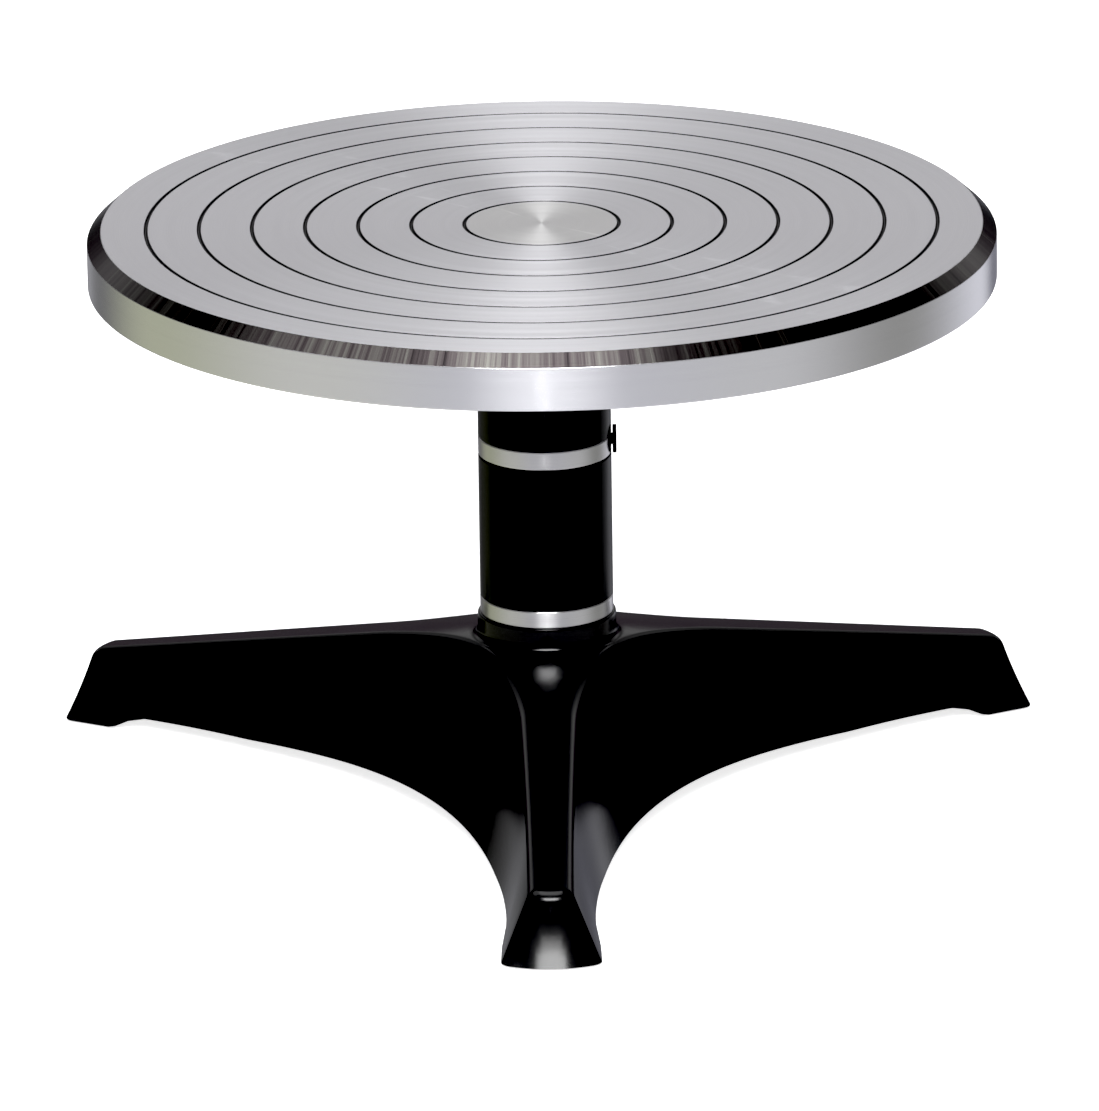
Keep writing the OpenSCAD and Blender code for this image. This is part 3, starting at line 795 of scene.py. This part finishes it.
def arm_shell(low, high, low_z, drop, shoulder, circle, spine_end, flare=0.0):
    """Rows of points up the side of half an arm, round its shoulder and over its top.

    shoulder is the size of the rounded edge at the gap between arms and along the arm.
    """
    steps = [0.0]
    for p, q in zip(high, high[1:]):
        steps.append(steps[-1] + (q - p).length)
    gone = spine_lengths(steps, circle, spine_end)
    rows = []
    for i, (foot, crest) in enumerate(zip(low, high)):
        before, after = high[max(i - 1, 0)], high[min(i + 1, len(high) - 1)]
        if i == 0:
            inward = -crest.normalized()
        elif i == len(high) - 1:
            inward = Vector((-1.0, 0.0))
        else:
            along = (after - before).normalized()
            inward = Vector((along.y, -along.x))
        size = shoulder[0] + (shoulder[1] - shoulder[0]) * min(1.0, max(0.0, (crest.x - 14) / 42))
        top = level(crest, roof(crest, drop))
        bottom = level(foot, low_z)
        start = bottom
        for _ in range(EDGE_ROUNDS):
            rho = math.hypot(start.x, start.y)
            start = bottom + (top - bottom) * ((under(rho) - low_z) / (top.z - low_z))
        down = (bottom - top).normalized()
        inner = crest + inward * size
        bend = curve_corner(top + down * size, top, level(inner, roof(inner, drop)), SHOULDER_STEPS)
        hollow = -level(inward, 0) * flare * max(0.0, (i - ARM_STEPS) / (len(high) - 1 - ARM_STEPS))
        row = []
        for k in range(WALL_STEPS):
            t = k / WALL_STEPS
            row.append(start + (bend[0] - start) * t - hollow * 4 * t * (1 - t))
        row += bend
        target = spine_point(gone[i], circle)
        for k in range(1, TOP_STEPS + 1):
            spot = inner + (target - inner) * (k / TOP_STEPS)
            row.append(level(spot, roof(spot, drop)))
        rows.append(row)
    return rows


def add_rows(bm, rows):
    """Faces between neighbouring rows of points."""
    grid = [[bm.verts.new(p) for p in row] for row in rows]
    for first, second in zip(grid, grid[1:]):
        for k in range(len(first) - 1):
            corners = (first[k], second[k], second[k + 1], first[k + 1])
            if (corners[0].co - corners[3].co).length < 1e-5:
                corners = corners[:3]
            elif (corners[1].co - corners[2].co).length < 1e-5:
                corners = (corners[0], corners[1], corners[3])
            if (corners[0].co - corners[1].co).length < 1e-5:
                corners = corners[1:]
            if len(corners) > 2:
                bm.faces.new(corners)


def hub_rows(shell_rows, circle, drop, wall_r, end_points):
    """Rows of points from the circle round the hub up or down its wall.

    They stand at the angles of the shell's rows.
    """
    rows = []
    for row in shell_rows:
        last = row[-1]
        if abs(math.hypot(last.x, last.y) - circle) > 1e-4:
            break
        angle = math.atan2(last.y, last.x)
        foot = Vector((circle, last.z))
        meet = Vector((wall_r, APEX_Z - drop - SLOPE * wall_r))
        away = Vector((wall_r, end_points[0][1])) - meet
        bend = curve_corner(foot, meet, meet + away.normalized() * abs(circle - wall_r) * 1.6, 5)
        spots = bend + [Vector(p) for p in end_points]
        rows.append([Vector((p.x * math.cos(angle), p.x * math.sin(angle), p.y)) for p in spots])
    return rows


def build_base():
    """The tripod as one closed casting: six mirrored half arms, the hub and its bore."""
    outer_low = half_outline(FOOT_WAIST, FOOT_HALF, FOOT_TIP_HALF, FOOT_END, bow=4.5, corner=3.0)
    outer_high = half_outline(CREST_WAIST, CREST_HALF, CREST_TIP_HALF, CREST_END, bow=1.5, corner=2.2)
    inner_low = half_outline(
        FOOT_WAIST - CAST_WALL, FOOT_HALF - CAST_WALL, FOOT_TIP_HALF - CAST_WALL,
        INNER_FOOT_END, bow=1.0, corner=3.0)
    inner_high = half_outline(
        CREST_WAIST - CAST_WALL, CREST_HALF - INNER_CREST_WALL, CREST_TIP_HALF - INNER_CREST_WALL,
        INNER_CREST_END, bow=0.5, corner=1.0)
    outer = arm_shell(
        outer_low, outer_high, SOLE_Z, 0, shoulder=(1.3, 3.2),
        circle=OUTER_CIRCLE, spine_end=OUTER_SPINE_END, flare=FOOT_FLARE)
    inner = arm_shell(
        inner_low, inner_high, INNER_LOW_Z, CAST_WALL, shoulder=(0.6, 1.6),
        circle=INNER_CIRCLE, spine_end=INNER_SPINE_END)
    sole = []
    for first, second in zip(outer, inner):
        start, end = first[0], second[0]
        row = []
        for k in range(SOLE_STEPS + 1):
            spot = start + (end - start) * (k / SOLE_STEPS)
            row.append(level(spot, under(math.hypot(spot.x, spot.y))))
        sole.append(row)
    boss = hub_rows(outer, OUTER_CIRCLE, 0, BOSS_R, [
        (BOSS_R, HUB_Z - BOSS_EDGE), (BOSS_R - BOSS_EDGE_STEP, HUB_Z - BOSS_EDGE_STEP),
        (BOSS_R - BOSS_EDGE, HUB_Z), (SHANK_BORE_R, HUB_Z), (SHANK_BORE_R, HUB_TUBE_Z),
    ])
    well = hub_rows(inner, INNER_CIRCLE, CAST_WALL, HUB_TUBE_R, [
        (HUB_TUBE_R, HUB_TUBE_Z + HUB_TUBE_CHAMFER), (HUB_TUBE_R - HUB_TUBE_CHAMFER, HUB_TUBE_Z),
        (SHANK_BORE_R, HUB_TUBE_Z),
    ])
    bm = bmesh.new()
    for angle in ARM_ANGLES:
        turn_by = Matrix.Rotation(math.radians(angle), 3, "Z")
        for mirror in (1, -1):
            for rows in (outer, inner, sole, boss, well):
                placed = [[turn_by @ Vector((p.x, p.y * mirror, p.z)) for p in row] for row in rows]
                add_rows(bm, placed)
    return finish_mesh("base_casting_enamelled", bm, sharp_deg=50)


PAD_PLACES = [Matrix.Rotation(math.radians(angle), 4, "Z") @ Matrix.Translation((PAD_PLACE_R, 0, 0))
              for angle in ARM_ANGLES]
pocket_r = PAD_R + FIT_GAP
stem_hole_r = PAD_STEM_R + FIT_GAP
pockets = lathe("pad_pockets", [
    (0, -1, 0), (pocket_r, -1, 0), (pocket_r, PAD_H, 0),
    (stem_hole_r, PAD_H, 0), (stem_hole_r, PAD_STEM_TOP + 1, 0), (0, PAD_STEM_TOP + 1, 0),
], 72, places=PAD_PLACES)
base = build_base()
cut(base, pockets, "DIFFERENCE")
settle(base, "base", "black_enamel", base_enamel, nodes=["base_casting"])

tread = []
for ring_r in PAD_TREAD:
    tread += [(ring_r - TREAD_W, 0, 0.1), (ring_r - TREAD_W / 2, TREAD_DEPTH, 0.1),
              (ring_r + TREAD_W / 2, TREAD_DEPTH, 0.1), (ring_r + TREAD_W, 0, 0.1)]
for pad_name, place in zip(("foot_pad_front", "foot_pad_right", "foot_pad_left"), PAD_PLACES):
    pad = lathe(pad_name + "_moulded", [
        (0, 0, 0), *tread, (PAD_R, 0, 0.7), (PAD_R, PAD_H, 0.2), (PAD_STEM_R, PAD_H, 0.3),
        (PAD_STEM_R, PAD_STEM_TOP, 0.8), (0, PAD_STEM_TOP, 0),
    ], 96, places=[place])
    settle(pad, "base", "foot_rubber", rubber, nodes=[pad_name])

# ---- Spindle, nuts and screws ----

spindle_low, spindle_high = box_mm("spindle")
lower_rows, lower_thread = thread(
    SPINDLE_THREAD_R, spindle_low.z + 1, SPINDLE_THREAD_TOP - 2, SPINDLE_THREAD_PITCH)
stud_rows, stud_thread = thread(STUD_R, JOURNAL_TOP + 1, spindle_high.z - 1, STUD_PITCH)
spindle = lathe("spindle_ground", [
    (0, spindle_low.z, 0), (SPINDLE_THREAD_R - 1, spindle_low.z, 0.1),
    (SPINDLE_THREAD_R, spindle_low.z + 1, 0),
    *lower_rows, (SPINDLE_THREAD_R, SPINDLE_THREAD_TOP, 0), (SHANK_R, SPINDLE_THREAD_TOP, 0.5),
    (SHANK_R, COLLAR_Z, 0), (COLLAR_R, COLLAR_Z, 0.4), (COLLAR_R, COLLAR_Z + COLLAR_H, 0.4),
    (LOCK_JOURNAL_R, COLLAR_Z + COLLAR_H, 0), (LOCK_JOURNAL_R, LOCK_JOURNAL_TOP, 0.3),
    (RACE_SHOULDER_R, LOCK_JOURNAL_TOP, 0), (RACE_SHOULDER_R, BEARING_Z, 0.3),
    (JOURNAL_R, BEARING_Z, 0), (JOURNAL_R, JOURNAL_TOP, 0.3), (STUD_R, JOURNAL_TOP, 0),
    *stud_rows, (STUD_R, spindle_high.z - 1, 0), (STUD_R - 1, spindle_high.z, 0.1), (0, spindle_high.z, 0),
], 96, together(lower_thread, stud_thread))
settle(spindle, "base", "ground_steel", ground_steel, nodes=["spindle"])


NUT_CHAMFER_W = 1.0
NUT_CHAMFER_H = 0.6
NUT_BORE_CHAMFER = 0.6


def hex_nut(node, bore_r):
    """A chamfered hexagonal nut that fills a CAD nut's box."""
    low, high = box_mm(node)
    corner_r = high.x
    cone = [(corner_r - NUT_CHAMFER_W * (1 - k / 4), NUT_CHAMFER_H * k / 4) for k in range(5)]
    mouth_r = bore_r + NUT_BORE_CHAMFER
    nut = lathe(node + "_chamfered", [
        (mouth_r, low.z, 0), *((r, low.z + rise, 0) for r, rise in cone),
        *((r, high.z - rise, 0) for r, rise in reversed(cone)), (mouth_r, high.z, 0),
        (bore_r, high.z - NUT_BORE_CHAMFER, 0), (bore_r, low.z + NUT_BORE_CHAMFER, 0),
    ], 96, hexagon(corner_r), sharp_deg=28)
    return settle(nut, "base", "plated_steel", plated_steel, nodes=[node])


def flat_washer(node, bore_r):
    """A washer with eased edges that fills a CAD washer's box."""
    low, high = box_mm(node)
    washer = tube(node + "_eased", low.z, high.z, high.x, bore_r, 0.35, 128)
    return settle(washer, "base", "plated_steel", plated_steel, nodes=[node])


hex_nut("base_nut", SPINDLE_THREAD_R + 0.02)
hex_nut("top_locknut", STUD_R + 0.02)
flat_washer("base_washer", SPINDLE_THREAD_R + 0.4)
flat_washer("top_washer", STUD_R + 0.3)

screw_low, screw_high = box_mm("flange_screws")
screw_rows, screw_thread = thread(SCREW_R, FLANGE_Z + 5, screw_high.z - 0.5, SCREW_PITCH)
flange_screws = lathe("flange_screws_knurled", [
    (0, screw_low.z + SOCKET_H, 0), (SOCKET_R, screw_low.z + SOCKET_H, 0), (SOCKET_R, screw_low.z, 0),
    (SCREW_HEAD_R, screw_low.z, 0.5), (SCREW_HEAD_R, FLANGE_Z, 0.2), (SCREW_R, FLANGE_Z, 0), *screw_rows,
    (SCREW_R, screw_high.z - 0.5, 0), (SCREW_R - 0.5, screw_high.z, 0), (0, screw_high.z, 0),
], 120, together(
    hexagon(SOCKET_R, high=screw_low.z + SOCKET_H, largest=SOCKET_R), screw_thread,
    knurl(SCREW_HEAD_R - 1e-6, SCREW_KNURLS, KNURL_DEPTH),
), places=round_places(SCREW_COUNT, SCREW_PLACE_R))
settle(flange_screws, "wheel", "black_oxide_steel", black_oxide, nodes=["flange_screws"])

# ---- Wheel lock ----

ALONG_X = Matrix.Translation((0, 0, LOCK_Z)) @ Matrix.Rotation(math.pi / 2, 4, "Y")
lock_low, lock_high = box_mm("lock_screw")
LOCK_HEAD_X = lock_high.x - LOCK_HEAD_T
lock_rows, lock_thread = thread(LOCK_R, lock_low.x + 0.3, LOCK_HEAD_X - 0.8, LOCK_PITCH)
lock_screw = lathe("lock_screw_knurled", [
    (0, lock_low.x + LOCK_BORE_H, 0), (LOCK_BORE_R, lock_low.x + LOCK_BORE_H, 0),
    (LOCK_BORE_R, lock_low.x, 0.1), (LOCK_R - 0.3, lock_low.x, 0), (LOCK_R, lock_low.x + 0.3, 0),
    *lock_rows, (LOCK_R, LOCK_HEAD_X, 0),
    (LOCK_HEAD_R, LOCK_HEAD_X, 0.2), (LOCK_HEAD_R, lock_high.x, 0.3), (0, lock_high.x, 0),
], 8 * LOCK_KNURLS, together(
    lock_thread, knurl(LOCK_HEAD_R - 1e-6, LOCK_KNURLS, KNURL_DEPTH),
), places=[ALONG_X])
# A square bar, turned flat side on, drawn out along the slot and squeezed to its width
slot_shape = Matrix.Diagonal((3, LOCK_SLOT_W / SLOT_TOOL_R / math.sqrt(2), 1, 1))
slot_place = ALONG_X @ slot_shape @ Matrix.Rotation(math.pi / 4, 4, "Z")
slot_tool = lathe("slot_place", [
    (0, lock_high.x - LOCK_SLOT_DEPTH, 0), (SLOT_TOOL_R, lock_high.x - LOCK_SLOT_DEPTH, 0),
    (SLOT_TOOL_R, lock_high.x + 1, 0), (0, lock_high.x + 1, 0),
], 4, places=[slot_place])
cut(lock_screw, slot_tool, "DIFFERENCE")
settle(lock_screw, "lock_screw", "black_oxide_steel", black_oxide, nodes=["lock_screw"])

pad_low, pad_high = box_mm("lock_pad")
PAD_TIP_R = pad_high.y
lock_pad = lathe("lock_pad_turned", [
    (0, pad_low.x, 0), (PAD_TIP_R, pad_low.x, 0.15), (PAD_TIP_R, pad_low.x + PAD_TIP_T, 0.1),
    (PAD_STUB_R, pad_low.x + PAD_TIP_T, 0), (PAD_STUB_R, pad_high.x, 0.15), (0, pad_high.x, 0),
], 64, places=[ALONG_X])
settle(lock_pad, "lock_pad", "pad_brass", pad_brass, nodes=["lock_pad"])

# ---- Materials for the CAD nodes that stay ----

CAD_MATERIALS = {
    ground_steel: ["inner_spacer", "outer_spacer"],
    felt: ["felt_seal"],
    bearing_steel: ["lower_inner_race", "upper_inner_race", "lower_outer_race", "upper_outer_race"],
    ball_steel: ["lower_balls", "upper_balls"],
    shield_steel: ["lower_bearing_shields", "upper_bearing_shields"],
    cage_brass: ["lower_ball_cage", "upper_ball_cage"],
    spring_steel: ["bore_circlip"],
}
for material, names in CAD_MATERIALS.items():
    for name in names:
        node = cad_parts[name]
        node.data.materials.clear()
        node.data.materials.append(material)

# ---- Floor and light ----

LIGHT_AIM_HEIGHT = 0.1
WORLD_STRENGTH = 2.0
BLACK_LEVEL = 0.015


def stage_floor():
    """A plain pale floor that glows a little, so that it stays pale under the object too."""
    bm = bmesh.new()
    bmesh.ops.create_circle(bm, cap_ends=True, segments=96, radius=FLOOR_R)
    floor = finish_mesh("floor", bm)
    material, tree, shader, place = start_material("pale_floor")
    cloud = noise(tree, place, 3.0, 2.0, 0.5)
    share = math_node(tree, "MULTIPLY", cloud, 0.2)
    tone = mix_colour(tree, share, (0.93, 0.93, 0.94), (0.9, 0.9, 0.91))
    set_shader(tree, shader, Base_Color=tone, Roughness=0.9, Emission_Color=(1.0, 1.0, 1.0),
               Emission_Strength=0.8)
    floor.data.materials.append(material)
    floor.visible_glossy = False


def softbox(name, azimuth, elevation, distance, size, radiance):
    """A soft panel light, seen only in reflections. Azimuth 0 is in front, and 90 on the right."""
    data = bpy.data.lights.new(name, "AREA")
    data.shape = "RECTANGLE"
    data.size, data.size_y = size
    data.energy = radiance * math.pi * size[0] * size[1]
    light = bpy.data.objects.new(name, data)
    a, e = math.radians(azimuth), math.radians(elevation)
    way = Vector((math.sin(a) * math.cos(e), -math.cos(a) * math.cos(e), math.sin(e)))
    light.location = way * distance + Vector((0, 0, LIGHT_AIM_HEIGHT))
    light.rotation_mode = "QUATERNION"
    light.rotation_quaternion = way.to_track_quat("Z", "Y")
    light.visible_camera = False
    bpy.context.scene.collection.objects.link(light)


def stage_world(low_sides, high_sides, by_height):
    """A studio whose colour changes with azimuth, -180 to 180 from the front, and with height.

    low_sides holds below the horizon, and high_sides above it.
    """
    world = bpy.data.worlds.new("studio")
    world.use_nodes = True
    tree = world.node_tree
    way = add(tree, "ShaderNodeTexCoord").outputs["Generated"]
    parts = add(tree, "ShaderNodeSeparateXYZ", {0: way}).outputs
    turn_by = math_node(tree, "ARCTAN2", parts[0], math_node(tree, "MULTIPLY", parts[1], -1.0))
    share = math_node(tree, "MULTIPLY_ADD", turn_by, 0.5 / math.pi, 0.5)
    low, high = (ramp(tree, share, [((angle + 180) / 360, tone) for angle, tone in sides], "EASE")
                 for sides in (low_sides, high_sides))
    lift = math_node(tree, "MULTIPLY_ADD", parts[2], 0.5, 0.5)
    side = mix_colour(tree, ramp(tree, lift, [(0.48, 0.0), (0.5, 1.0)]), low, high)
    tone = ramp(tree, lift, [(0.5 + math.sin(math.radians(e)) / 2, tone) for e, tone in by_height], "EASE")
    tree.links.new(mix_colour(tree, 1.0, side, tone, "MULTIPLY"), tree.nodes["Background"].inputs["Color"])
    tree.nodes["Background"].inputs["Strength"].default_value = WORLD_STRENGTH
    bpy.context.scene.world = world


stage_floor()
stage_world(
    [(-180, (0.16, 0.16, 0.18)), (-168, (0.19, 0.19, 0.2)), (-152, (0.11, 0.11, 0.11)),
     (-116, (0.31, 0.32, 0.24)), (-60, (0.44, 0.44, 0.41)), (-17, (0.44, 0.44, 0.46)),
     (-2, (0.53, 0.53, 0.55)), (2, (0.53, 0.53, 0.55)), (17, (0.44, 0.44, 0.46)),
     (60, (0.43, 0.43, 0.43)), (104, (0.22, 0.22, 0.21)), (148, (0.46, 0.46, 0.49)),
     (161, (0.12, 0.12, 0.14)), (180, (0.16, 0.16, 0.18))],
    [(-180, 1.15), (-174, 1.0), (-169, 0.3), (-163, 0.3), (-150, 0.8), (-130, 0.25), (-90, 0.25), (-40, 0.4),
     (40, 0.4), (90, 0.2), (130, 0.2), (150, 0.9), (163, 0.3), (169, 0.3), (174, 1.0), (180, 1.15)],
    [(-90, 0.9), (-10, 0.9), (-4, 0.08), (10, (0.06, 0.045, 0.058)), (17, 0.51), (24, 0.51), (36, 0.13),
     (50, 0.16), (70, 0.5), (90, 0.5)],
)
softbox("window", 0, 37, 3.6, (1.8, 0.9), 28)
softbox("window_low", 0, 27, 3.6, (1.1, 0.5), 12)
softbox("flash", 0, 4, 4.6, (0.1, 0.1), 90)
softbox("overhead", 0, 79, 3.2, (1.6, 1.6), 4.6)
softbox("left_high", -80, 63, 3.2, (1.9, 1.6), 2.0)
softbox("left_fill", -161, 42, 3.4, (0.8, 0.8), 1.4)
softbox("right_fill", 161, 42, 3.4, (0.8, 0.8), 1.8)
view = bpy.context.scene.view_settings
view.view_transform = "Standard"
view.use_curve_mapping = True
view.curve_mapping.black_level = (BLACK_LEVEL,) * 3
view.curve_mapping.update()
